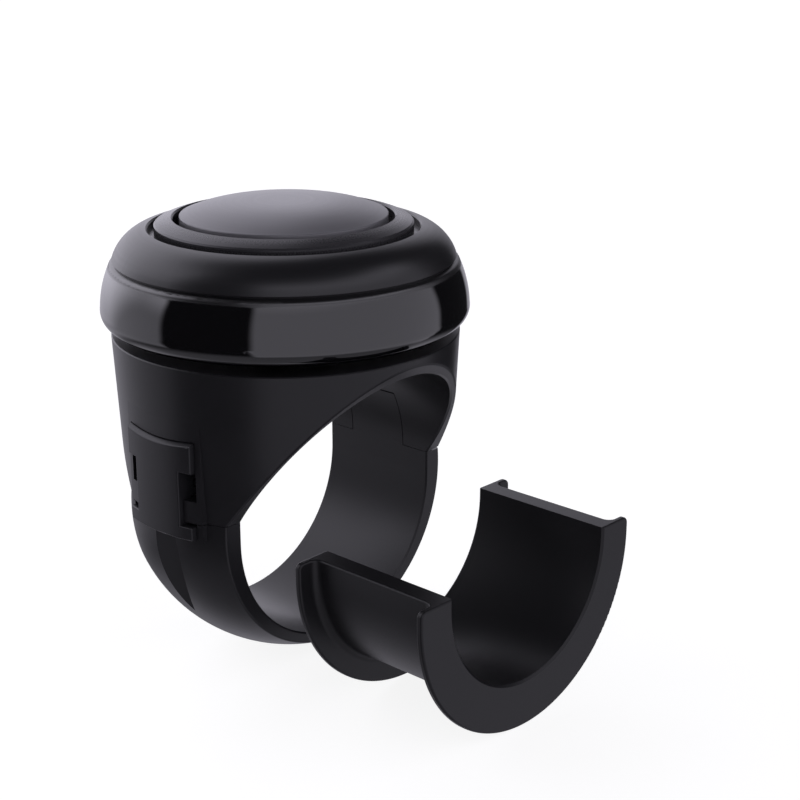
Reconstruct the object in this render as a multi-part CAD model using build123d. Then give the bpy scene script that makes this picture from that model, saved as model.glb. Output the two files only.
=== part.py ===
from build123d import *
import math
import os

# Spinner knob for a steering wheel. The rim runs along Y through the origin, +Z is up to the head,
# the hinge is at +X and the latch at -X. All lengths are in millimetres.

# Clamp round the rim. The bore is a long round: half a circle in the jaw, struck from the origin, and
# half a circle of the same radius in the housing, struck a little higher.
rim_bore_radius = 20.8
arch_height = 4.0                # centre of the bore's upper half circle
clamp_width = 22.6
crown_thickness = 3.1            # metal between the top of the bore and the collar's flat top
parting_height = 3.8             # plane between housing and jaw
parting_gap = 0.1
collar_wall = 6.7                # metal beside the bore at the collar
collar_taper = 1.2               # how far the housing draws in from the collar to the parting plane
collar_chamfer = 0.15
flat_lean = 35.2                 # degrees that the front and back flats lean out from upright
jaw_centre_height = 1.45         # centre of the jaw's ball shape
arch_bevel = 0.25
flat_bevel = 0.2                 # where a flat meets the housing's cone
jaw_edge_rounding = 0.35
jaw_bore_bevel = 0.25

# Fits
press_fit = 0.02
running_fit = 0.05
side_gap = 0.15
swing_gap = 0.3

# Hinge
hinge_x = 22.0
hinge_height = 8.5
hinge_pin_radius = 1.2
hinge_pin_front = 10.4
hinge_pin_back = 12.3
pin_chamfer = 0.2
pin_end_room = 0.1               # the pin holes are this much deeper than their pins
tongue_width = 11.7
knuckle_radius = 5.9
lobe_gap = 0.2
lobe_cheek = 2.2                 # how far below the hinge axis the rounded part of a lobe starts

# Latch lever and its seat
latch_pad_rise = 0.8             # the field round the latch stands this far out of the housing's foot
latch_face_rise = 0.8            # and the latch this far out of that field
latch_thickness = 2.8
latch_pad_margin = 1.1
latch_width = 14.4
latch_waist = 9.8
latch_lip_width = 14.2
latch_edge_height = 15.75        # upper edge of the latch on its outer face
latch_shoulder_height = 11.9     # foot of the wide upper part
latch_ear_height = 7.3           # top of the housing's ears beside the waist
latch_lip_top = 3.3
latch_lip_foot = 1.2
latch_pin_depth = 1.3            # from the latch's back face in to its pin
latch_pin_height = 9.3
latch_pin_radius = 0.75
latch_pin_length = 17.2
latch_boss_radius = 1.8
latch_gap = 0.2
latch_swing_room = 1.9           # depth of the pocket behind the pin
latch_lower_room = 0.5
latch_edge_rounding = 0.25
hook_thickness = 1.2
hook_width = 9.0
hook_reach = 1.5
jaw_bar_clearance = 0.2
hook_pocket_clearance = 0.4

# Finger groove under the latch, cut as a V down the outside of the jaw
groove_top_depth = 2.2
groove_foot_height = -14.5
groove_half_angle = 46.0
groove_reach = 8.0               # the cutter goes this far out from the foot of the V

# Latch spring
spring_radius = 1.25
spring_wire = 0.2
spring_turns = 4.5
spring_height = 13.4
spring_pocket_depth = 2.0
spring_pocket_clearance = 0.3
spring_end_gap = 0.1

# Spindle and bearing
spindle_shoulder_radius = 6.0
spindle_shoulder_length = 3.1
spindle_root_radius = 3.5
spindle_root_length = 2.4
spindle_chamfer = 0.3
bearing_bore_radius = 4.0
bearing_outer_radius = 11.0
bearing_width = 7.0
inner_race_radius = 6.1
outer_race_bore = 9.0
ball_radius = 1.98
ball_count = 7
ball_circle_inset = 0.05         # the balls run this much nearer to the inner race than half way
raceway_clearance = 0.05
cage_thickness = 1.0
cage_height = 5.2
shield_thickness = 0.3
shield_inset = 0.2
shield_bore = 6.4
spindle_below_race = 0.2
spindle_screw_radius = 2.0
spindle_screw_length = 9.0
spindle_screw_head_radius = 3.6
spindle_screw_head_height = 2.0
spindle_screw_socket = 1.6
spindle_screw_socket_depth = 1.1
screw_end_room = 0.5
washer_radius = 5.8
washer_hole_clearance = 0.2
washer_thickness = 1.0

# Head
head_gap = 1.65                  # open gap between the collar and the head
band_bulge = 1.5                 # the band's widest line stands this far outside the collar
band_round_height = 2.75         # height of the rounded lower edge
band_round_bow = 0.55
band_top_draw = 1.5              # how far the band draws in towards its upper edge
band_bow = 0.3
band_wall = 4.0
band_lip_width = 1.1
band_lip_thickness = 1.0
seam_height = 9.75               # seam above the head's underside
seam_draw = 2.4                  # from the widest line in to the bottom of the seam
seam_rounding = 0.4
dome_rim_draw = 5.4              # from the seam in to the dome's upper rim
dome_rim_height = 14.8
dome_bow = 1.0
recess_floor_height = 13.6
cap_floor_thickness = 1.6
cap_inner_chamfer = 2.0
skirt_thickness = 2.2
groove_width = 1.0
ring_width = 2.95
ring_outer_height = 15.5
ring_inner_height = 16.35
ring_bow = 0.06
disc_edge_height = 16.65
disc_shoulder_width = 3.84
disc_shoulder_height = 1.55
disc_shoulder_bow = 0.29
disc_crown = 0.55
edge_chamfer = 0.25
collar_bore = 10.2
base_thickness = 1.6
base_recess = 0.25
base_hole_radius = 9.6
hub_wall = 2.0

# Screws that hold the base plate to the cap
base_screw_count = 3
base_screw_margin = 2.3          # from a screw's boss to the cap's inner wall
base_screw_radius = 1.2
base_screw_head_radius = 2.2
base_screw_head_height = 0.9
base_screw_length = 6.0
base_screw_hole = 1.5
base_screw_sink_clearance = 0.2
base_screw_end_room = 0.3
screw_boss_radius = 2.8
screw_boss_overlap = 0.5         # the bosses run this far into the cap's ceiling
cross_slot_share = 0.7           # of the head's radius
cross_slot_width = 0.7
cross_slot_depth = 0.5

# Loose rim liner, which stands in front of the clamp
liner_clearance = 0.1
liner_wall = 3.2
liner_flange_height = 3.3
liner_flange_thickness = 1.1
liner_flange_drop = 1.0          # the flange's arc is struck this far below the trough's
liner_side_height = 1.4
liner_width_clearance = 0.25
liner_x = 2.42
liner_front_gap = 12.25          # between the clamp's front face and the liner's nearer end
liner_top_height = 0.89
liner_root_rounding = 1.2        # between the trough and its flanges
liner_corner_rounding = 1.0
liner_edge_rounding = 0.35

# Places worked out from the sizes above
half_width = clamp_width / 2
collar_radius = rim_bore_radius + collar_wall
foot_radius = collar_radius - collar_taper
jaw_radius = math.hypot(foot_radius, parting_height - jaw_centre_height)
latch_pad_radius = foot_radius + latch_pad_rise
latch_pad_width = latch_width + 2 * latch_pad_margin
latch_face_radius = latch_pad_radius + latch_face_rise
latch_back_x = latch_thickness - latch_face_radius
latch_pin_x = latch_back_x + latch_pin_depth
latch_pocket_x = latch_pin_x + latch_swing_room
latch_lower_pocket_x = latch_back_x + latch_lower_room
housing_top = arch_height + rim_bore_radius + crown_thickness
head_foot = housing_top + head_gap
bearing_foot = housing_top + spindle_shoulder_length
bearing_top = bearing_foot + bearing_width
bearing_middle = bearing_foot + bearing_width / 2
ball_circle = (inner_race_radius + outer_race_bore) / 2 - ball_circle_inset
recess_floor = head_foot + recess_floor_height
cap_ceiling = recess_floor - cap_floor_thickness
base_foot = head_foot + base_recess
base_top = base_foot + base_thickness
skirt_foot = base_top + band_lip_thickness
band_radius = collar_radius + band_bulge
band_bore_radius = band_radius - band_wall
band_lip_radius = band_bore_radius - band_lip_width
seam_radius = band_radius - seam_draw
dome_rim_radius = seam_radius - dome_rim_draw
skirt_radius = band_bore_radius - press_fit
base_screw_circle = skirt_radius - skirt_thickness - screw_boss_radius - base_screw_margin
ring_outer_radius = dome_rim_radius - groove_width
ring_inner_radius = ring_outer_radius - ring_width
disc_radius = ring_inner_radius - groove_width
far = 60.0                       # half-size of the blocks that only cut
touching = 0.01                  # a point this near to a face lies on it


def block(x_low, x_high, y_low, y_high, z_low, z_high):
    middle = Pos((x_low + x_high) / 2, (y_low + y_high) / 2, (z_low + z_high) / 2)
    return middle * Box(x_high - x_low, y_high - y_low, z_high - z_low)


def post(radius, z_low, z_high, x=0.0, y=0.0):
    return Pos(x, y, (z_low + z_high) / 2) * Cylinder(radius, z_high - z_low)


def bar(radius, y_low, y_high, x=0.0, z=0.0):
    return Pos(x, (y_low + y_high) / 2, z) * Rot(90, 0, 0) * Cylinder(radius, y_high - y_low)


def bowed(start, end, bow):
    # arc in the XZ plane whose middle stands proud of the chord, to the left of start-to-end when bow > 0
    run_x = end[0] - start[0]
    run_z = end[1] - start[1]
    length = math.hypot(run_x, run_z)
    middle_x = (start[0] + end[0]) / 2 - run_z / length * bow
    middle_z = (start[1] + end[1]) / 2 + run_x / length * bow
    return ThreePointArc((start[0], 0, start[1]), (middle_x, 0, middle_z), (end[0], 0, end[1]))


def straight(*points):
    return Polyline(*[(x, 0, z) for x, z in points])


def turned(*lines):
    return revolve(make_face(Curve() + list(lines)), axis=Axis.Z)


def ring_of(radius_in, radius_out, z_low, z_high):
    return turned(straight((radius_in, z_low), (radius_out, z_low), (radius_out, z_high),
                           (radius_in, z_high), (radius_in, z_low)))


def around(count, radius, start=90.0):
    for step in range(count):
        angle = math.radians(start + 360.0 * step / count)
        yield radius * math.cos(angle), radius * math.sin(angle)


def wedge_outside_flats():
    # everything beyond the two flats that lean out from the clamp's width at the parting plane
    rise = far
    run = rise * math.tan(math.radians(flat_lean))
    cutters = []
    for side in (-1, 1):
        outline = Polyline((0, side * half_width, parting_height),
                           (0, side * (half_width + run), parting_height + rise),
                           (0, side * far * 2, parting_height + rise),
                           (0, side * far * 2, parting_height - rise),
                           (0, side * half_width, parting_height - rise),
                           (0, side * half_width, parting_height))
        cutters.append(extrude(make_face(outline), amount=far, dir=(1, 0, 0), both=True))
    return cutters


def outer_body():
    # cone of the housing, before anything is cut from it
    return turned(straight((0, parting_height), (foot_radius, parting_height),
                           (collar_radius, housing_top - collar_chamfer),
                           (collar_radius - collar_chamfer, housing_top), (0, housing_top),
                           (0, parting_height)))


def latch_pad(z_low, z_high):
    # the raised field round the latch
    half = latch_pad_width / 2
    return post(latch_pad_radius, z_low, z_high) & block(-far, 0, -half, half, z_low, z_high)


def pad_top():
    # height at which the cone has grown out to the pad's radius
    share = (latch_pad_radius - foot_radius) / (collar_radius - foot_radius)
    return parting_height + share * (housing_top - collar_chamfer - parting_height)


def bore():
    radius = rim_bore_radius
    straight_sides = block(-radius, radius, -far, far, 0, arch_height)
    return bar(radius, -far, far) + straight_sides + bar(radius, -far, far, 0, arch_height)


def knuckle(extra, width):
    # the jaw's tongue round the hinge pin, grown by extra for the slot that it turns in
    return bar(knuckle_radius + extra, -width / 2, width / 2, hinge_x, hinge_height)


def edges_on(shape, test):
    return [edge for edge in shape.edges() if all(test(edge @ share) for share in (0.1, 0.5, 0.9))]


def on_bore(point):
    centre = min(max(point.Z, 0.0), arch_height)
    return abs(math.hypot(point.X, point.Z - centre) - rim_bore_radius) < touching


def on_flat(point):
    reach = half_width + (point.Z - parting_height) * math.tan(math.radians(flat_lean))
    return abs(abs(point.Y) - reach) < touching


def on_side(point):
    return abs(abs(point.Y) - half_width) < touching


def on_ball(point):
    return abs(math.hypot(point.X, point.Y, point.Z - jaw_centre_height) - jaw_radius) < touching


def on_cone(point):
    share = (point.Z - parting_height) / (housing_top - collar_chamfer - parting_height)
    radius = foot_radius + share * (collar_radius - foot_radius)
    return abs(math.hypot(point.X, point.Y) - radius) < touching


def latch_head_end(radius):
    # upper end of the latch or of its pocket, rounded about the latch pin
    return bar(radius, -far, far, latch_pin_x, latch_pin_height)


latch_end_radius = math.hypot(latch_face_radius + latch_pin_x, latch_edge_height - latch_pin_height)


def latch_pocket():
    half = latch_width / 2 + latch_gap
    waist = latch_waist / 2 + latch_gap
    upper = block(-far, latch_pocket_x, -half, half, latch_ear_height, far)
    upper = upper & latch_head_end(latch_end_radius + latch_gap)
    lower = block(-far, latch_lower_pocket_x, -waist, waist, parting_height - 1, latch_ear_height + 1)
    return upper + lower


def spring_pocket():
    turn = Rot(0, 90, 0)
    depth = spring_pocket_depth
    return Pos(latch_pocket_x + depth / 2 - 0.5, 0, spring_height) * turn * Cylinder(
        spring_radius + spring_wire + spring_pocket_clearance, depth + 1)


def make_housing():
    body = outer_body() + latch_pad(parting_height, pad_top())
    for cutter in wedge_outside_flats():
        body -= cutter
    body = chamfer(edges_on(body, lambda point: on_flat(point) and on_cone(point)), flat_bevel)
    body -= bore()
    body = chamfer(edges_on(body, lambda point: on_flat(point) and on_bore(point)), arch_bevel)
    body -= knuckle(swing_gap, tongue_width + 2 * side_gap)
    # below the hinge the lobes are rounded about the pin, so that the jaw's shoulders swing past
    lobe_radius = hinge_height - parting_height - lobe_gap
    corner = block(hinge_x, far, -far, far, parting_height - 1, hinge_height)
    body -= corner - bar(lobe_radius, -far, far, hinge_x, hinge_height) \
        - block(-far, far, -far, far, hinge_height - lobe_cheek, far)
    body -= bar(hinge_pin_radius + press_fit, -hinge_pin_front - pin_end_room, far, hinge_x, hinge_height)
    body -= latch_pocket()
    body -= spring_pocket()
    half_pin = latch_pin_length / 2 + pin_end_room
    body -= bar(latch_pin_radius + press_fit, -half_pin, half_pin, latch_pin_x, latch_pin_height)
    root_foot = housing_top - spindle_root_length - pin_end_room
    body -= post(spindle_root_radius + press_fit, root_foot, housing_top + 1)
    return body


def make_jaw():
    top = parting_height - parting_gap
    ball = Pos(0, 0, jaw_centre_height) * Sphere(jaw_radius)
    lip_foot = latch_lip_foot - latch_gap
    jaw = ball & block(-far, far, -half_width, half_width, -far, top)
    jaw -= bore()
    jaw = chamfer(edges_on(jaw, lambda point: on_side(point) and on_bore(point)), jaw_bore_bevel)
    jaw = fillet(edges_on(jaw, lambda point: on_side(point) and on_ball(point)), jaw_edge_rounding)
    envelope = outer_body() + block(-far, far, -far, far, -far, parting_height)
    tongue = knuckle(0, tongue_width) & envelope & (ball + block(-far, far, -far, far, top, far))
    jaw += latch_pad(lip_foot, top) + tongue - bore()
    # seat for the latch's lip, the bar that the hook holds, and the hook's pocket under it
    half_lip = latch_lip_width / 2 + latch_gap
    bar_face = latch_back_x + latch_gap
    jaw -= block(-far, bar_face, -half_lip, half_lip, lip_foot, far)
    half_hook = hook_width / 2 + hook_pocket_clearance
    bar_foot = latch_lip_foot + hook_thickness + jaw_bar_clearance
    jaw -= block(-far, latch_back_x + hook_reach + hook_pocket_clearance, -half_hook, half_hook,
                 lip_foot, bar_foot)
    jaw -= finger_groove()
    jaw -= bar(hinge_pin_radius + running_fit, -far, far, hinge_x, hinge_height)
    return jaw


def finger_groove():
    top_z = latch_lip_foot
    top_x = -(math.sqrt(jaw_radius ** 2 - (top_z - jaw_centre_height) ** 2) - groove_top_depth)
    foot_x = -math.sqrt(jaw_radius ** 2 - (groove_foot_height - jaw_centre_height) ** 2)
    run_x = foot_x - top_x
    run_z = groove_foot_height - top_z
    length = math.hypot(run_x, run_z)
    half = groove_reach * math.tan(math.radians(groove_half_angle))
    along = Vector(run_x / length, 0, run_z / length)
    outward = Vector(run_z / length, 0, -run_x / length)
    start = Vector(top_x, 0, top_z)
    corner = start + outward * groove_reach
    side = Vector(0, half, 0)
    triangle = make_face(Polyline(start, corner + side, corner - side, start))
    return extrude(triangle, amount=length, dir=along)


def make_latch():
    half = latch_width / 2
    waist = latch_waist / 2
    lip = latch_lip_width / 2
    face = post(latch_face_radius, latch_lip_foot, latch_edge_height + latch_end_radius)
    upper = face & block(-far, latch_back_x, -half, half, latch_shoulder_height, far)
    upper = upper & latch_head_end(latch_end_radius)
    middle = face & block(-far, latch_back_x, -waist, waist, latch_lip_top, latch_shoulder_height)
    foot = face & block(-far, latch_back_x, -lip, lip, latch_lip_foot, latch_lip_top)
    boss = bar(latch_boss_radius, -waist, waist, latch_pin_x, latch_pin_height)
    web = block(latch_back_x, latch_pin_x, -waist, waist, latch_pin_height - latch_boss_radius,
                latch_pin_height + latch_boss_radius)
    hook = block(latch_back_x, latch_back_x + hook_reach, -hook_width / 2, hook_width / 2,
                 latch_lip_foot, latch_lip_foot + hook_thickness)
    plate = upper + middle + foot
    rim = edges_on(plate, lambda point: abs(math.hypot(point.X, point.Y) - latch_face_radius) < touching)
    plate = fillet(rim, latch_edge_rounding)
    lever = plate + boss + web + hook
    return lever - bar(latch_pin_radius + running_fit, -far, far, latch_pin_x, latch_pin_height)


def make_spring():
    # the coil stands between the floor of its pocket and the back of the latch
    start = latch_back_x + spring_wire + spring_end_gap
    finish = latch_pocket_x + spring_pocket_depth - spring_wire - spring_end_gap
    height = finish - start
    coil = Helix(pitch=height / spring_turns, height=height, radius=spring_radius)
    section = Plane(origin=coil @ 0, z_dir=coil % 0) * Circle(spring_wire)
    wire = sweep(section, path=coil)
    return Pos(start, 0, spring_height) * Rot(0, 90, 0) * wire


def make_spindle():
    root_foot = housing_top - spindle_root_length
    top = bearing_top - spindle_below_race
    shaft_radius = bearing_bore_radius - press_fit
    shaft = turned(straight((0, root_foot), (spindle_root_radius, root_foot),
                            (spindle_root_radius, housing_top), (spindle_shoulder_radius, housing_top),
                            (spindle_shoulder_radius, bearing_foot - spindle_chamfer),
                            (spindle_shoulder_radius - spindle_chamfer, bearing_foot),
                            (shaft_radius, bearing_foot), (shaft_radius, top), (0, top), (0, root_foot)))
    hole_foot = bearing_top - spindle_screw_length - screw_end_room
    return shaft - post(spindle_screw_radius + press_fit, hole_foot, far)


def make_spindle_screw():
    head_foot_z = bearing_top + washer_thickness
    head_top = head_foot_z + spindle_screw_head_height
    shank = post(spindle_screw_radius, bearing_top - spindle_screw_length, head_foot_z)
    head = post(spindle_screw_head_radius, head_foot_z, head_top)
    socket_foot = Pos(0, 0, head_top - spindle_screw_socket_depth)
    hexagon = socket_foot * RegularPolygon(spindle_screw_socket, 6)
    socket = extrude(hexagon, amount=spindle_screw_head_height)
    return shank + head - socket


def make_washer():
    return ring_of(spindle_screw_radius + washer_hole_clearance, washer_radius, bearing_top,
                   bearing_top + washer_thickness)


def raceway():
    groove = ball_radius + raceway_clearance
    return revolve(Pos(ball_circle, 0, bearing_middle) * Rot(90, 0, 0) * Circle(groove), axis=Axis.Z)


def make_inner_race():
    return ring_of(bearing_bore_radius, inner_race_radius, bearing_foot, bearing_top) - raceway()


def make_outer_race():
    return ring_of(outer_race_bore, bearing_outer_radius, bearing_foot, bearing_top) - raceway()


def make_shields():
    lower = bearing_foot + shield_inset
    upper = bearing_top - shield_inset - shield_thickness
    outer = outer_race_bore - press_fit
    return [ring_of(shield_bore, outer, z, z + shield_thickness) for z in (lower, upper)]


def make_cage():
    cage = ring_of(ball_circle - cage_thickness / 2, ball_circle + cage_thickness / 2,
                   bearing_middle - cage_height / 2, bearing_middle + cage_height / 2)
    for x, y in around(ball_count, ball_circle):
        pocket = Plane(origin=(x, y, bearing_middle), z_dir=(x, y, 0))
        cage -= pocket * Cylinder(ball_radius + raceway_clearance, 3 * cage_thickness)
    return cage


def make_balls():
    return [Pos(x, y, bearing_middle) * Sphere(ball_radius) for x, y in around(ball_count, ball_circle)]


def make_band():
    foot = head_foot
    seam = foot + seam_height
    round_top = (band_radius, foot + band_round_height)
    round_foot = (collar_radius, foot)
    shoulder = (band_radius - band_top_draw, seam - 2 * seam_rounding)
    edge = (seam_radius + seam_rounding, seam - seam_rounding / 2)
    return turned(
        straight((band_bore_radius, foot), round_foot),
        bowed(round_foot, round_top, -band_round_bow),
        bowed(round_top, shoulder, -band_bow),
        bowed(shoulder, edge, -seam_rounding / 4),
        straight(edge, (seam_radius, seam), (band_bore_radius, seam), (band_bore_radius, skirt_foot),
                 (band_lip_radius, skirt_foot), (band_lip_radius, base_top),
                 (band_bore_radius, base_top), (band_bore_radius, foot)))


def make_cap():
    seam = head_foot + seam_height
    rim = head_foot + dome_rim_height
    inner = skirt_radius - skirt_thickness
    dome_foot = (seam_radius + seam_rounding * 0.7, seam + seam_rounding)
    cap = turned(
        straight((skirt_radius, seam), (seam_radius, seam), dome_foot),
        bowed(dome_foot, (dome_rim_radius + edge_chamfer, rim), -dome_bow),
        straight((dome_rim_radius + edge_chamfer, rim), (dome_rim_radius, rim - edge_chamfer),
                 (dome_rim_radius, recess_floor), (0, recess_floor), (0, cap_ceiling),
                 (collar_bore, cap_ceiling), (collar_bore, bearing_top),
                 (bearing_outer_radius + hub_wall, bearing_top),
                 (bearing_outer_radius + hub_wall, cap_ceiling),
                 (inner - cap_inner_chamfer, cap_ceiling), (inner, cap_ceiling - cap_inner_chamfer),
                 (inner, skirt_foot),
                 (skirt_radius, skirt_foot), (skirt_radius, seam)))
    for x, y in around(base_screw_count, base_screw_circle):
        cap += post(screw_boss_radius, base_top, cap_ceiling + screw_boss_overlap, x, y)
        cap -= post(base_screw_radius + press_fit, base_top - 1, base_top + base_screw_length, x, y)
    return cap


def make_ring():
    outer = ring_outer_radius
    inner = ring_inner_radius
    outer_top = head_foot + ring_outer_height
    inner_top = head_foot + ring_inner_height
    low = (outer - edge_chamfer, outer_top)
    high = (inner + edge_chamfer, inner_top)
    return turned(
        straight((inner, recess_floor), (outer, recess_floor), (outer, outer_top - edge_chamfer), low),
        bowed(low, high, -ring_bow),
        straight(high, (inner, inner_top - edge_chamfer), (inner, recess_floor)))


def make_disc():
    edge = (disc_radius, head_foot + disc_edge_height)
    shoulder = (disc_radius - disc_shoulder_width, edge[1] + disc_shoulder_height)
    top = shoulder[1] + disc_crown
    crown_radius = (shoulder[0] ** 2 + disc_crown ** 2) / (2 * disc_crown)
    drop = crown_radius - math.sqrt(crown_radius ** 2 - (shoulder[0] / 2) ** 2)
    return turned(
        straight((0, top), (0, recess_floor), (disc_radius, recess_floor), edge),
        bowed(edge, shoulder, -disc_shoulder_bow),
        ThreePointArc((shoulder[0], 0, shoulder[1]), (shoulder[0] / 2, 0, top - drop), (0, 0, top)))


def make_base():
    hub_bore = bearing_outer_radius + press_fit
    plate = turned(straight((base_hole_radius, base_foot), (band_bore_radius - press_fit, base_foot),
                            (band_bore_radius - press_fit, base_top),
                            (hub_bore + hub_wall, base_top), (hub_bore + hub_wall, bearing_top - side_gap),
                            (hub_bore, bearing_top - side_gap), (hub_bore, bearing_foot),
                            (base_hole_radius, bearing_foot), (base_hole_radius, base_foot)))
    for x, y in around(base_screw_count, base_screw_circle):
        plate -= post(base_screw_hole, base_foot - 1, base_top + 1, x, y)
        sink_radius = base_screw_head_radius + base_screw_sink_clearance
        plate -= post(sink_radius, base_foot - 1, base_foot + base_screw_head_height, x, y)
    return plate


def make_base_screws():
    head_top = base_foot + base_screw_head_height
    screws = []
    for x, y in around(base_screw_count, base_screw_circle):
        screw = post(base_screw_head_radius, base_foot, head_top, x, y)
        screw += post(base_screw_radius, head_top, base_top + base_screw_length - base_screw_end_room, x, y)
        reach = base_screw_head_radius * cross_slot_share
        for half_x, half_y in ((reach, cross_slot_width / 2), (cross_slot_width / 2, reach)):
            screw -= block(x - half_x, x + half_x, y - half_y, y + half_y, base_foot - 1,
                           base_foot + cross_slot_depth)
        screws.append(screw)
    return screws


def make_hinge_pin():
    pin = bar(hinge_pin_radius, -hinge_pin_front, hinge_pin_back, hinge_x, hinge_height)
    return chamfer(pin.edges().filter_by(GeomType.CIRCLE), pin_chamfer)


def make_latch_pin():
    half = latch_pin_length / 2
    return bar(latch_pin_radius, -half, half, latch_pin_x, latch_pin_height)


def trough(radius, centre_z, y_low, y_high):
    # half-round end view: an arc below its centre with straight sides up to the liner's top
    top = liner_top_height
    sides = block(liner_x - radius, liner_x + radius, y_low, y_high, centre_z, top)
    below = bar(radius, y_low, y_high, liner_x, centre_z)
    return sides + (below & block(-far, far, y_low, y_high, -far, centre_z))


def make_liner():
    outer = rim_bore_radius - liner_clearance
    inner = outer - liner_wall
    flange_radius = outer + liner_flange_height
    back = -half_width - liner_front_gap
    front = back - clamp_width - liner_width_clearance - 2 * liner_flange_thickness
    centre = liner_top_height - liner_side_height
    flange_faces = (front + liner_flange_thickness, back - liner_flange_thickness)
    body = trough(outer, centre, front, back)
    body += trough(flange_radius, centre - liner_flange_drop, front, flange_faces[0])
    body += trough(flange_radius, centre - liner_flange_drop, flange_faces[1], back)

    def at_root(point):
        on_face = min(abs(point.Y - y) for y in flange_faces) < touching
        return on_face and math.hypot(point.X - liner_x, min(point.Z - centre, 0)) < outer + touching

    def at_corner(point):
        at_side = abs(abs(point.X - liner_x) - flange_radius) < touching
        return at_side and abs(point.Z - liner_top_height) < touching

    def at_flange_edge(point):
        below = min(point.Z - centre + liner_flange_drop, 0)
        return abs(math.hypot(point.X - liner_x, below) - flange_radius) < touching

    def at_mouth(point):
        at_wall = abs(math.hypot(point.X - liner_x, min(point.Z - centre, 0)) - inner) < touching
        return at_wall and min(abs(point.Y - front), abs(point.Y - back)) < touching

    hollow = bar(inner, front - 1, back + 1, liner_x, centre)
    hollow += block(liner_x - inner, liner_x + inner, front - 1, back + 1, centre, far)
    body -= hollow
    body = chamfer(edges_on(body, at_mouth), liner_edge_rounding)
    body = fillet(edges_on(body, at_corner), liner_corner_rounding)
    body = fillet(edges_on(body, at_root), liner_root_rounding)
    return fillet(edges_on(body, at_flange_edge), liner_edge_rounding)


def write(name, solids):
    solids = solids if isinstance(solids, list) else [solids]
    pieces = [solid for shape in solids for solid in shape.solids()]
    shape = pieces[0] if len(pieces) == 1 else Compound(children=pieces)
    shape.label = name
    export_step(shape, f"parts/{name}.step")


os.makedirs("parts", exist_ok=True)

write("clamp_housing", make_housing())
write("lower_jaw", make_jaw())
write("latch_lever", make_latch())
write("latch_spring", make_spring())
write("latch_pin", make_latch_pin())
write("hinge_pin", make_hinge_pin())
write("spindle", make_spindle())
write("spindle_screw", make_spindle_screw())
write("retaining_washer", make_washer())
write("bearing_inner_race", make_inner_race())
write("bearing_outer_race", make_outer_race())
write("bearing_shields", make_shields())
write("bearing_cage", make_cage())
write("bearing_balls", make_balls())
write("gloss_band", make_band())
write("dome_cap", make_cap())
write("top_ring", make_ring())
write("top_disc", make_disc())
write("base_plate", make_base())
write("base_screws", make_base_screws())
write("rim_liner", make_liner())
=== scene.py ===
import math

import bpy
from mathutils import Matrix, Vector


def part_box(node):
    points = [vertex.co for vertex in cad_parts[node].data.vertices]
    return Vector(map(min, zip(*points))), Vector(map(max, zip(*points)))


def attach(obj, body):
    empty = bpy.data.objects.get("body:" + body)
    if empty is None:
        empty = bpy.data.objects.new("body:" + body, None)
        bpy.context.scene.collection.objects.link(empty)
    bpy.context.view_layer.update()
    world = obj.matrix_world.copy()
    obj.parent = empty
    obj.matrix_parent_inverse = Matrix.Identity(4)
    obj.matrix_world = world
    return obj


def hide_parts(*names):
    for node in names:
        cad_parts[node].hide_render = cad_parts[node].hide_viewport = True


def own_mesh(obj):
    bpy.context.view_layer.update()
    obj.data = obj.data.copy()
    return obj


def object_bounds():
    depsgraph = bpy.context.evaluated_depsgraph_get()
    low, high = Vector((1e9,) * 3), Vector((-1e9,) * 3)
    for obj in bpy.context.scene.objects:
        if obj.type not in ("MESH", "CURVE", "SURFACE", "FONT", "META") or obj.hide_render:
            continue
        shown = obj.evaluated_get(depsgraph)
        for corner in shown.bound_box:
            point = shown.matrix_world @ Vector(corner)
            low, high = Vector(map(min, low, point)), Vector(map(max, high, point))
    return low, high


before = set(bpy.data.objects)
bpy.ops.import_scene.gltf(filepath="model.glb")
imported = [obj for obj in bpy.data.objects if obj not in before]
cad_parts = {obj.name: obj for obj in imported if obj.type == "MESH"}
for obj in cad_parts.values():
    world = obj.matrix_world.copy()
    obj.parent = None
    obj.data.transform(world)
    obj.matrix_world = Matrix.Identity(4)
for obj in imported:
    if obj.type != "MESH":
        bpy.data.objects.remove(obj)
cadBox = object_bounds()
mm = 0.001
print("frame loaded,", len(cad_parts), "nodes")


# shader maths as plain expressions
class Sock:
    # output of a node, every sum on it adds a Math node
    def __init__(self, nodes, out):
        self.nodes = nodes
        self.out = out

    def calc(self, operation, *others):
        values = {f"i{number}": value for number, value in enumerate((self,) + others)}
        return self.nodes.put("Math", {"operation": operation}, **values)

    def __add__(self, other):
        return self.calc("ADD", other)

    def __sub__(self, other):
        return self.calc("SUBTRACT", other)

    def __rsub__(self, other):
        return self.nodes.put("Math", {"operation": "SUBTRACT"}, i0=other, i1=self)

    def __mul__(self, other):
        return self.calc("MULTIPLY", other)

    __radd__ = __add__
    __rmul__ = __mul__

    def rise(self, low, high):
        # 0 below low, 1 above high, eased in between
        return self.nodes.put("MapRange", {"interpolation_type": "SMOOTHSTEP"}, Value=self,
                              From_Min=low, From_Max=high)

    def around(self, spread):
        # noise from 0 to 1 as a change down and up by half the spread
        return (self - 0.5) * spread


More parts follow.
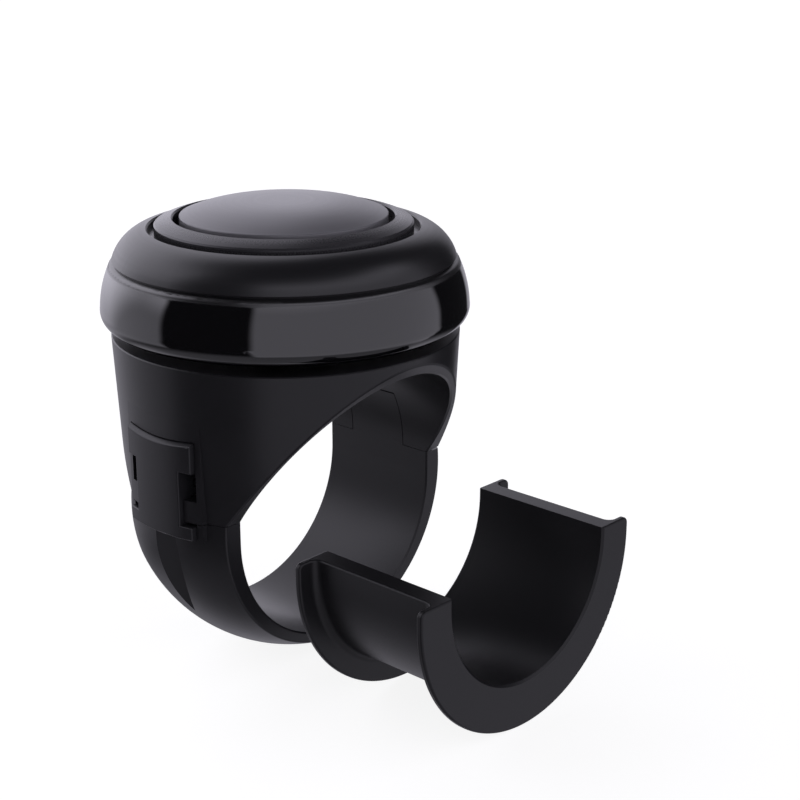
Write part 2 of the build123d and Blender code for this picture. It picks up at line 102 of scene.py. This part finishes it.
class Nodes:
    # one node tree
    def __init__(self, tree):
        self.tree = tree
        tree.nodes.clear()

    def put(self, kind, settings=None, out=0, **sockets):
        # sockets go by name with _ for a blank, or by number as i0, i1, and a tuple asks for several outputs
        node = self.tree.nodes.new("ShaderNode" + kind)
        for key, value in (settings or {}).items():
            setattr(node, key, value)
        for key, value in sockets.items():
            byNumber = key[0] == "i" and key[1:].isdigit()
            slot = node.inputs[int(key[1:]) if byNumber else key.replace("_", " ")]
            if isinstance(value, Sock):
                self.tree.links.new(value.out, slot)
            else:
                slot.default_value = value
        if isinstance(out, tuple):
            return [Sock(self, node.outputs[name]) for name in out]
        return Sock(self, node.outputs[out]) if node.outputs else None

    def mix(self, factor, first, second):
        # 0, 6, 7 and 2 are the node's factor and its colour sockets
        return self.put("Mix", {"data_type": "RGBA"}, out=2, i0=factor, i6=first, i7=second)

    def shades(self, factor, tone, spread):
        # a tone that wanders a little darker and lighter
        return self.mix(factor, rgb(tone, 1 - spread), rgb(tone, 1 + spread))

    def place(self):
        return self.put("TexCoord", out="Object")

    def split(self, vector):
        return self.put("SeparateXYZ", out=("X", "Y", "Z"), Vector=vector)

    def rays(self):
        return self.put("LightPath", out=("Is Camera Ray", "Is Glossy Ray", "Is Transmission Ray"))

    def noise(self, vector, scale, detail=2.0, rough=0.5):
        return self.put("TexNoise", Vector=vector, Scale=scale, Detail=detail, Roughness=rough)

    def bump(self, strength, depth, height):
        return self.put("Bump", Strength=strength, Distance=depth, Height=height)

    def grooves(self, scale, climb=0.5):
        # fine rings about the knob's axis, as a lathe leaves them, climb is how fast they change upwards
        x, y, z = self.split(self.place())
        radius = (x * x + y * y).calc("SQRT")
        along = self.put("CombineXYZ", X=radius, Y=z * climb)
        return self.noise(along, scale, detail=4.0, rough=0.65)


def rgb(colour, factor=1.0):
    return tuple(part * factor for part in colour) + (1.0,)


white = rgb((1, 1, 1))


def newMaterial(name, build, look):
    made = bpy.data.materials.new(name)
    made.use_nodes = True
    nodes = Nodes(made.node_tree)
    nodes.put("OutputMaterial", Surface=build(nodes, look))
    return made


def newObject(name, data):
    made = bpy.data.objects.new(name, data)
    bpy.context.scene.collection.objects.link(made)
    return made


# camera at the photo's angle, in mm and degrees, azimuth from the front round to the right
cameraSet = {"target": (12.44, -13.01, 15.38), "azimuth": -47.17, "elevation": 18.32,
             "distance": 270.2, "lens": 75.4, "sensor": 36.0, "clipStart": 10}


def makeCamera():
    look = cameraSet
    azimuth = math.radians(look["azimuth"])
    elevation = math.radians(look["elevation"])
    level = math.cos(elevation)
    back = Vector((math.sin(azimuth) * level, -math.cos(azimuth) * level, math.sin(elevation)))
    data = bpy.data.cameras.new("camera")
    data.lens = look["lens"]
    data.sensor_width = look["sensor"]
    data.clip_start = look["clipStart"] * mm
    camera = newObject("camera", data)
    camera.location = (Vector(look["target"]) + back * look["distance"]) * mm
    camera.rotation_euler = back.to_track_quat("Z", "Y").to_euler()
    bpy.context.scene.camera = camera
    print("camera placed")


# white studio round the object, angles in degrees counted from the photo's side to the right, and up
# a panel is its left and right side, its foot and top, and how softly the top fades
# a pair of angles is where a change starts and where it ends, and 200 lies past the back
studioSet = {
    "key": (-17, 111, -37, 50, 6), "keyLevels": (0.68, 1.5), "keyClimb": (24, 44),
    "left": (-200, -77, -28, 54, 14), "leftLevels": (0.6, 1.87), "leftClimb": (3, 30),
    "lift": 24, "liftSides": (-135, -92), "backSides": (-178, -130), "backShare": 0.6,
    "right": (157, 200, -30, 34, 12), "rightLevel": 0.5, "softSide": 3, "softFoot": 6,
    "glowSides": (160, 176), "glowFoot": (-2, 12), "glowTop": (12, 30), "glowLevel": 0.8,
    "floorEdge": (-46, -24), "floorSides": (90, 150), "floorFront": 0.8, "floorLevel": 0.3,
    "blackLevel": 0.02, "tint": (0.955, 0.93, 1.05),
}


def makeStudio():
    look = studioSet
    world = bpy.data.worlds.new("studio")
    world.use_nodes = True
    bpy.context.scene.world = world
    nodes = Nodes(world.node_tree)
    x, y, z = nodes.split(nodes.put("TexCoord", out="Generated"))
    turn = math.radians(cameraSet["azimuth"])
    toFront = x * math.sin(turn) - y * math.cos(turn)
    toRight = x * math.cos(turn) + y * math.sin(turn)
    angle = toRight.calc("ARCTAN2", toFront) * math.degrees(1)
    height = z.calc("ARCSINE") * math.degrees(1)

    def panel(left, right, foot, top, softTop):
        soft = look["softSide"]
        softFoot = look["softFoot"]
        sides = angle.rise(left - soft, left + soft) * (1 - angle.rise(right - soft, right + soft))
        ends = height.rise(foot - softFoot, foot + softFoot) * (1 - height.rise(top - softTop, top + softTop))
        return sides * ends

    def between(share, low, high):
        return share * (high - low) + low

    # the key softbox and the left wall get brighter upwards, the wall also towards the back
    key = panel(*look["key"]) * between(height.rise(*look["keyClimb"]), *look["keyLevels"])
    climb = height + (1 - angle.rise(*look["liftSides"])) * look["lift"]
    left = panel(*look["left"]) * between(climb.rise(*look["leftClimb"]), *look["leftLevels"])
    left = left * between(angle.rise(*look["backSides"]), look["backShare"], 1)
    right = panel(*look["right"]) * look["rightLevel"]
    aside = angle.calc("ABSOLUTE")
    glow = aside.rise(*look["glowSides"]) * height.rise(*look["glowFoot"])
    glow = glow * (1 - height.rise(*look["glowTop"])) * look["glowLevel"]
    # pale floor as reflections see it
    seen, glossy, through = nodes.rays()
    below = (1 - height.rise(*look["floorEdge"])) * glossy * look["floorLevel"]
    below = below * (aside.rise(*look["floorSides"]) + look["floorFront"])
    level = key + left + (right + glow) + below + look["blackLevel"]
    lit = nodes.put("Background", Color=rgb(look["tint"]), Strength=level)
    plain = nodes.put("Background", Color=white, Strength=1.0)
    direct = seen.calc("MAXIMUM", through)
    nodes.put("OutputWorld", Surface=nodes.put("MixShader", i0=direct, i1=lit, i2=plain))
    print("studio made")


# pale floor a hair below the liner and the jaw
floorSet = {"size": 3.0, "drop": 0.3 * mm, "tone": 0.92, "rough": 0.8, "grain": 0.05, "grainScale": 900.0,
            "grainDepth": 0.1 * mm, "shadowShare": 0.3, "white": 1.26}


def paleFloor(nodes, look):
    grain = nodes.noise(nodes.place(), look["grainScale"])
    lit = nodes.put("BsdfPrincipled", Base_Color=rgb((1, 1, 1), look["tone"]), Roughness=look["rough"],
                    Normal=nodes.bump(look["grain"], look["grainDepth"], grain))
    bright = nodes.put("Emission", Color=white, Strength=look["white"])
    seen, glossy, through = nodes.rays()
    direct = seen.calc("MAXIMUM", glossy).calc("MAXIMUM", through)
    return nodes.put("MixShader", i0=direct * (1 - look["shadowShare"]), i1=lit, i2=bright)


def makeFloor():
    half = floorSet["size"] / 2
    mesh = bpy.data.meshes.new("floor")
    corners = [(-half, -half, 0), (half, -half, 0), (half, half, 0), (-half, half, 0)]
    mesh.from_pydata(corners, [], [(0, 1, 2, 3)])
    mesh.materials.append(newMaterial("paleFloor", paleFloor, floorSet))
    floor = newObject("floor", mesh)
    floor.location.z = cadBox[0][2] - floorSet["drop"]
    floor.visible_glossy = False  # the studio's lower part stands for it
    print("floor laid")


# satin black paint on the castings, with a little orange peel
castSet = {"tone": (0.0130, 0.0127, 0.0141), "shade": 0.15, "rough": 0.31, "specular": 0.32, "mottle": 0.1,
           "cloudScale": 90.0, "peel": 0.06, "peelScale": 1400.0, "peelDepth": 0.06 * mm,
           "dust": 0.4, "dustScale": 5200.0, "dustRough": 0.04}
latchSet = dict(castSet, tone=(0.0150, 0.0147, 0.0162), rough=0.29)


def castPaint(nodes, look):
    place = nodes.place()
    peel = nodes.noise(place, look["peelScale"])
    dust = nodes.noise(place, look["dustScale"], detail=1.0)
    cloud = nodes.noise(place, look["cloudScale"], detail=3.0)
    rough = cloud.around(look["mottle"]) + dust.around(look["dustRough"]) + look["rough"]
    return nodes.put("BsdfPrincipled", Base_Color=nodes.shades(cloud, look["tone"], look["shade"]),
                     Roughness=rough, Specular_IOR_Level=look["specular"],
                     Normal=nodes.bump(look["peel"], look["peelDepth"], peel + dust * look["dust"]))


# polished black band
bandSet = {"tone": (0.0022, 0.0021, 0.0026), "rough": 0.045, "specular": 1.0, "ior": 1.53,
           "edge": 1.2 * mm, "fullEdge": 0.84 * mm, "edgeRough": 0.3,
           "smearScale": 240.0, "smearEdge": (0.55, 0.75), "smearRough": 0.02,
           "wave": 0.02, "waveScale": 60.0, "waveDepth": 0.1 * mm}


def glossBlack(nodes, look):
    place = nodes.place()
    wave = nodes.noise(place, look["waveScale"], detail=1.0)
    smear = nodes.noise(place, look["smearScale"], detail=4.0, rough=0.6).rise(*look["smearEdge"])
    # the rounded upper edge is less polished than the side
    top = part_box("gloss_band")[1].z
    edge = nodes.split(place)[2].rise(top - look["edge"], top - look["fullEdge"])
    rough = smear * look["smearRough"] + edge * look["edgeRough"] + look["rough"]
    return nodes.put("BsdfPrincipled", Base_Color=rgb(look["tone"]), Roughness=rough,
                     Specular_IOR_Level=look["specular"], IOR=look["ior"],
                     Normal=nodes.bump(look["wave"], look["waveDepth"], wave))


# satin lacquer on the dome, and satin anodised ring and disc with lathe marks
domeSet = {"tone": (0.0115, 0.0113, 0.0125), "shade": 0.07, "rough": 0.33, "specular": 0.46, "metallic": 0.0,
           "marks": 0.02, "markScale": 2600.0, "markDepth": 0.05 * mm, "markRough": 0.08, "broadScale": 500.0,
           "grain": 0.3, "grainScale": 4200.0, "grainRough": 0.03}
ringSet = dict(domeSet, tone=(0.046, 0.045, 0.048), rough=0.28, specular=0.36, metallic=0.3, marks=0.05)
discSet = dict(domeSet, tone=(0.172, 0.170, 0.179), rough=0.38, specular=0.35, metallic=0.2, marks=0.05)


def turnedSatin(nodes, look):
    marks = nodes.grooves(look["markScale"])
    broad = nodes.grooves(look["broadScale"])
    grain = nodes.noise(nodes.place(), look["grainScale"])
    rough = marks.around(look["markRough"]) + grain.around(look["grainRough"]) + look["rough"]
    return nodes.put("BsdfPrincipled", Base_Color=nodes.shades(broad, look["tone"], look["shade"]),
                     Roughness=rough, Metallic=look["metallic"], Specular_IOR_Level=look["specular"],
                     Normal=nodes.bump(look["marks"], look["markDepth"], marks + grain * look["grain"]))


# the disc's crown, one even sweep from the edge to the middle, angles in degrees
crownSet = {"rise": 2.1 * mm, "power": 3.2, "edgeRound": 0.22 * mm, "edgeTurns": (30, 60, 90),
            "rings": 40, "sides": 192, "sharp": 40}


def crownProfile(look, radius, top, foot):
    edge = top - look["rise"]
    edgeRound = look["edgeRound"]
    flatRadius = radius - edgeRound
    profile = []
    for step in range(1, look["rings"] + 1):
        share = step / look["rings"]
        profile.append((flatRadius * share, edge + look["rise"] * (1 - share ** look["power"])))
    for turn in look["edgeTurns"]:
        angle = math.radians(turn)
        profile.append((flatRadius + edgeRound * math.sin(angle), edge - edgeRound * (1 - math.cos(angle))))
    profile.append((radius, foot))
    return profile


def makeDisc():
    look = crownSet
    low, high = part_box("top_disc")
    profile = crownProfile(look, high.x, high.z, low.z)
    sides = look["sides"]
    turns = [math.tau * side / sides for side in range(sides)]
    points = [(r * math.cos(turn), r * math.sin(turn), z) for r, z in profile for turn in turns]
    points += [(0, 0, high.z), (0, 0, low.z)]
    middle, foot = len(points) - 2, len(points) - 1
    last = (len(profile) - 1) * sides
    faces = []
    for side in range(sides):
        after = (side + 1) % sides
        for inner in range(0, last, sides):
            outer = inner + sides
            faces.append((inner + side, outer + side, outer + after, inner + after))
        faces.append((middle, side, after))
        faces.append((foot, last + after, last + side))
    mesh = bpy.data.meshes.new("crownedDisc")
    mesh.from_pydata(points, [], faces)
    mesh.shade_smooth()
    mesh.set_sharp_from_angle(angle=math.radians(look["sharp"]))
    mesh.materials.append(newMaterial("satinDisc", turnedSatin, discSet))
    disc = newObject("crownedDisc", mesh)
    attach(disc, "head")
    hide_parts("top_disc")
    print("disc turned")


# moulded black plastic, finely spark eroded
linerSet = {"tone": (0.0090, 0.0088, 0.0099), "shade": 0.1, "rough": 0.4, "specular": 0.34, "mottle": 0.1,
            "flowScale": 45.0, "texture": 0.12, "textureScale": 3600.0, "textureDepth": 0.05 * mm}
baseSet = dict(linerSet, tone=(0.012, 0.012, 0.013), rough=0.5, specular=0.4, texture=0.2)


def mouldedPlastic(nodes, look):
    place = nodes.place()
    erosion = nodes.noise(place, look["textureScale"], detail=3.0, rough=0.6)
    flow = nodes.noise(place, look["flowScale"])
    return nodes.put("BsdfPrincipled", Base_Color=nodes.shades(flow, look["tone"], look["shade"]),
                     Roughness=erosion.around(look["mottle"]) + look["rough"],
                     Specular_IOR_Level=look["specular"],
                     Normal=nodes.bump(look["texture"], look["textureDepth"], erosion))


# bare metals: ground bearing steel, turned and pressed steel, zinc plate, black oxide, brass and drawn wire
bearingSet = {"tone": (0.60, 0.60, 0.61), "stain": 0.92, "rough": 0.16, "marks": 0.04, "markScale": 2600.0,
              "markDepth": 0.04 * mm, "markRough": 0.1, "cloudScale": 260.0, "cloudRough": 0.12,
              "stainEdge": (0.35, 0.75)}
spindleSet = dict(bearingSet, tone=(0.50, 0.50, 0.51), stain=0.9, rough=0.26, marks=0.08, markScale=1800.0)
shieldSet = dict(bearingSet, tone=(0.46, 0.46, 0.47), stain=0.9, rough=0.34, marks=0.05, markScale=900.0)
zincSet = dict(bearingSet, tone=(0.62, 0.62, 0.60), stain=0.8, rough=0.33, marks=0.06, markScale=1500.0)
oxideSet = dict(bearingSet, tone=(0.060, 0.059, 0.062), stain=0.8, rough=0.36, marks=0.06, markScale=2200.0)
pinSet = dict(bearingSet, tone=(0.36, 0.36, 0.37), stain=0.85, rough=0.24, marks=0.06, markScale=2200.0)
brassSet = dict(bearingSet, tone=(0.62, 0.43, 0.17), stain=0.8, rough=0.3, marks=0.08, markScale=1800.0)
wireSet = dict(bearingSet, tone=(0.48, 0.48, 0.49), stain=0.85, rough=0.28, marks=0.06, markScale=5200.0)


def bareMetal(nodes, look):
    marks = nodes.grooves(look["markScale"])
    cloud = nodes.noise(nodes.place(), look["cloudScale"], detail=4.0, rough=0.6)
    stained = cloud.rise(*look["stainEdge"])
    colour = nodes.mix(stained, rgb(look["tone"]), rgb(look["tone"], look["stain"]))
    rough = cloud.around(look["cloudRough"]) + marks.around(look["markRough"]) + look["rough"]
    return nodes.put("BsdfPrincipled", Base_Color=colour, Roughness=rough, Metallic=1.0,
                     Normal=nodes.bump(look["marks"], look["markDepth"], marks))


def makeSpring():
    coil = newObject("latchCoil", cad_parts["latch_spring"].data.copy())
    coil.data.materials.clear()
    coil.data.materials.append(newMaterial("springWire", bareMetal, wireSet))
    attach(coil, "root")
    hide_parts("latch_spring")
    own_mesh(coil)
    print("spring made")


# finish of each piece that keeps its solid
finishes = [
    ("castPaint", castPaint, castSet, "clamp_housing", "lower_jaw"),
    ("latchPaint", castPaint, latchSet, "latch_lever"),
    ("glossBand", glossBlack, bandSet, "gloss_band"),
    ("domeLacquer", turnedSatin, domeSet, "dome_cap"),
    ("satinRing", turnedSatin, ringSet, "top_ring"),
    ("linerPlastic", mouldedPlastic, linerSet, "rim_liner"),
    ("basePlastic", mouldedPlastic, baseSet, "base_plate"),
    ("bearingSteel", bareMetal, bearingSet, "bearing_inner_race", "bearing_outer_race", "bearing_balls"),
    ("spindleSteel", bareMetal, spindleSet, "spindle"),
    ("shieldSteel", bareMetal, shieldSet, "bearing_shields"),
    ("zincPlate", bareMetal, zincSet, "spindle_screw", "retaining_washer", "base_screws"),
    ("blackOxide", bareMetal, oxideSet, "latch_pin"),
    ("groundPin", bareMetal, pinSet, "hinge_pin"),
    ("cageBrass", bareMetal, brassSet, "bearing_cage"),
]


def finishPieces():
    for name, build, look, *pieces in finishes:
        made = newMaterial(name, build, look)
        for piece in pieces:
            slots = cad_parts[piece].data.materials
            slots.clear()
            slots.append(made)
    print("materials made:", len(bpy.data.materials))


makeCamera()
makeStudio()
makeFloor()
finishPieces()
makeDisc()
makeSpring()

bpy.context.scene.view_settings.view_transform = "Standard"
